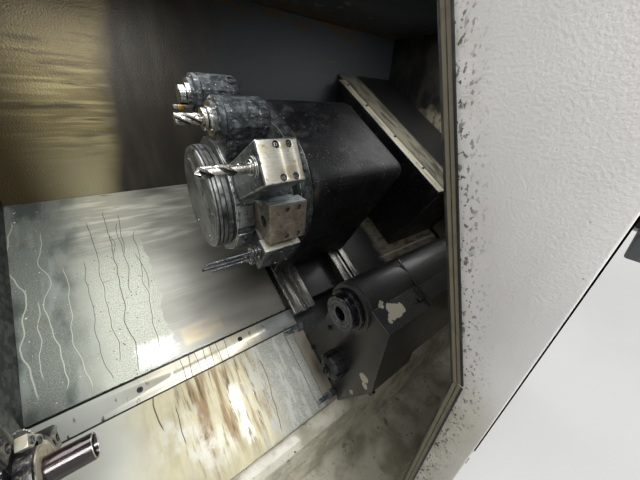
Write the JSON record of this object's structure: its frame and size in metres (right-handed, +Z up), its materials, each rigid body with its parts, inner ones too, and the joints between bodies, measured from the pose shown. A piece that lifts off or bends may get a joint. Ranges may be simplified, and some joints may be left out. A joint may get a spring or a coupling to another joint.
{
  "type": "cnc turning lathe",
  "caption": "Slant-bed turning lathe in a sheet-metal enclosure, with a tool turret, chuck, tailstock, sliding way covers and a sliding front door that stands open.",
  "frame": {"origin": "centre of the overall box, on the floor", "axes": "+X along the spindle towards the tailstock, +Y to the rear, +Z up; the front door faces -Y"},
  "size_m": [2.5, 1.4674, 1.9153],
  "materials": {
    "black_plastic": "black plastic",
    "blackened_steel": "black oxide steel",
    "bright_block": "bright milled steel",
    "cast_black": "oily black casting",
    "cast_grey": "grey enamel on a casting",
    "chipped_black": "gloss black enamel, chipped down to the cream primer",
    "cream_paint": "cream paint",
    "dark_steel": "blued steel",
    "green_plastic": "green plastic",
    "ground_steel": "ground steel",
    "guard_paint": "black paint with swarf on it",
    "lamp_glass": "frosted lamp tube",
    "mill_scale": "dark drawn tube",
    "painted_grey": "mid grey paint",
    "painted_white": "light grey-white paint",
    "panel_grey": "dark grey paint",
    "red_plastic": "red plastic",
    "smoked_glass": "smoked safety glass",
    "soft_jaw": "bright machined soft jaw",
    "stained_bronze": "oil-stained sheet, brown",
    "stained_cream": "cream paint under brown stain",
    "stained_dark": "dark stained sheet",
    "stainless": "worn stainless sheet with drip marks",
    "turret_steel": "dark hardened steel"
  },
  "bodies": {
    "machine": {"bed_casting": "cast_grey", "levelling_foot_1": "dark_steel", "levelling_foot_2": "dark_steel", "levelling_foot_3": "dark_steel", "levelling_foot_4": "dark_steel", "way_rail_lower": "ground_steel", "way_rail_upper": "ground_steel", "headstock_casting": "cast_grey", "spindle_motor": "cast_grey", "chip_pan": "cream_paint", "cover_strip": "stainless", "chamber_wall_left": "stained_dark", "chamber_wall_right": "stained_cream", "back_wall": "stained_bronze", "roof_panel": "painted_white", "left_cover": "painted_white", "right_cover": "painted_white", "front_left_cover": "painted_white", "front_right_cover": "painted_white", "front_apron": "painted_grey", "rear_cabinet": "painted_grey", "side_guard": "guard_paint", "work_light": "lamp_glass", "signal_lamp": "lamp_glass"},
    "ball_screw": {"z_ball_screw": "ground_steel"},
    "carriage": {"saddle": "cast_black", "carriage_cover_left": "stainless", "carriage_cover_right": "stainless", "x_guide_left": "ground_steel", "x_guide_right": "ground_steel"},
    "cross_slide": {"turret_housing": "cast_black"},
    "turret": {"turret_drum": "turret_steel", "turret_cap": "blackened_steel", "boring_holder": "turret_steel", "live_holder": "turret_steel", "drill_block": "bright_block", "turning_block": "bright_block", "gang_block": "bright_block", "twist_drill": "ground_steel"},
    "mill": {"end_mill": "ground_steel"},
    "main_spindle": {"spindle": "ground_steel", "clamping_cylinder": "dark_steel", "chuck_body": "blackened_steel", "workpiece_tube": "mill_scale"},
    "jaw_up": {"jaw_1": "soft_jaw"},
    "jaw_front": {"jaw_2": "soft_jaw"},
    "jaw_rear": {"jaw_3": "soft_jaw"},
    "tailstock": {"tailstock_body": "chipped_black", "tailstock_cover": "stainless"},
    "tail_quill": {"quill": "blackened_steel"},
    "knob": {"clamp_knob": "cast_black"},
    "front_door": {"door_shell": "painted_white", "door_window": "smoked_glass", "door_handle": "dark_steel"},
    "panel": {"operator_panel": "panel_grey"},
    "stop": {"emergency_stop": "red_plastic"},
    "start": {"start_button": "green_plastic"},
    "wheel": {"handwheel": "black_plastic"},
    "rear_door": {"cabinet_door": "painted_grey"},
    "tank": {"coolant_tank": "painted_grey"}
  },
  "joints": [
    {"name": "ball_screw_turn", "type": "hinge", "parent": "machine", "child": "ball_screw", "pos_m": [-0.01, 0.24644, 0.80895], "axis": [1, 0, 0], "continuous": true},
    {"name": "carriage_slide", "type": "slide", "parent": "machine", "child": "carriage", "axis": [1, 0, 0], "range_m": [-0.3, 0.2]},
    {"name": "cross_slide_travel", "type": "slide", "parent": "carriage", "child": "cross_slide", "axis": [0, -0.866, -0.5], "range_m": [-0.08, 0.11]},
    {"name": "turret_index", "type": "hinge", "parent": "cross_slide", "child": "turret", "pos_m": [-0.01, 0.01085, 1.181], "axis": [1, 0, 0], "continuous": true},
    {"name": "mill_spin", "type": "hinge", "parent": "turret", "child": "mill", "pos_m": [-0.01, -0.0993, 1.3539], "axis": [1, 0, 0], "continuous": true},
    {"name": "spindle_turn", "type": "hinge", "parent": "machine", "child": "main_spindle", "pos_m": [-0.01, -0.30265, 1], "axis": [1, 0, 0], "continuous": true},
    {"name": "jaw_up_slide", "type": "slide", "parent": "main_spindle", "child": "jaw_up", "axis": [0, 0, 1], "range_m": [0, 0.005]},
    {"name": "jaw_front_slide", "type": "slide", "parent": "main_spindle", "child": "jaw_front", "axis": [0, -0.866, -0.5], "range_m": [0, 0.005]},
    {"name": "jaw_rear_slide", "type": "slide", "parent": "main_spindle", "child": "jaw_rear", "axis": [0, 0.866, -0.5], "range_m": [0, 0.005]},
    {"name": "tailstock_slide", "type": "slide", "parent": "machine", "child": "tailstock", "axis": [-1, 0, 0], "range_m": [-0.2, 0.25]},
    {"name": "quill_slide", "type": "slide", "parent": "tailstock", "child": "tail_quill", "axis": [-1, 0, 0], "range_m": [0, 0.06]},
    {"name": "knob_turn", "type": "hinge", "parent": "tailstock", "child": "knob", "pos_m": [0.03, -0.29113, 0.80804], "axis": [1, 0, 0], "range_deg": [-90, 90]},
    {"name": "front_door_slide", "type": "slide", "parent": "machine", "child": "front_door", "axis": [-1, 0, 0], "range_m": [-0.1, 0.542]},
    {"name": "panel_swivel", "type": "hinge", "parent": "machine", "child": "panel", "pos_m": [1.199, -0.62065, 1], "axis": [0, 0, 1], "range_deg": [0, 75]},
    {"name": "stop_press", "type": "slide", "parent": "panel", "child": "stop", "axis": [0, 1, 0], "range_m": [0, 0.006]},
    {"name": "start_press", "type": "slide", "parent": "panel", "child": "start", "axis": [0, 1, 0], "range_m": [0, 0.004], "stiffness_N_per_m": 400},
    {"name": "wheel_turn", "type": "hinge", "parent": "panel", "child": "wheel", "pos_m": [1.1046, -0.70565, 1.101], "axis": [0, 1, 0], "continuous": true},
    {"name": "rear_door_hinge", "type": "hinge", "parent": "machine", "child": "rear_door", "pos_m": [-1.026, 0.69965, 1], "axis": [0, 0, 1], "range_deg": [0, 100]},
    {"name": "tank_slide", "type": "slide", "parent": "machine", "child": "tank", "axis": [0, -1, 0], "range_m": [0, 0.3]}
  ],
  "couplings": [
    {"joint": "jaw_front_slide", "follows": "jaw_up_slide", "ratio": 1},
    {"joint": "jaw_rear_slide", "follows": "jaw_up_slide", "ratio": 1},
    {"joint": "ball_screw_turn", "follows": "carriage_slide", "rad_per_m": -314.16}
  ]
}
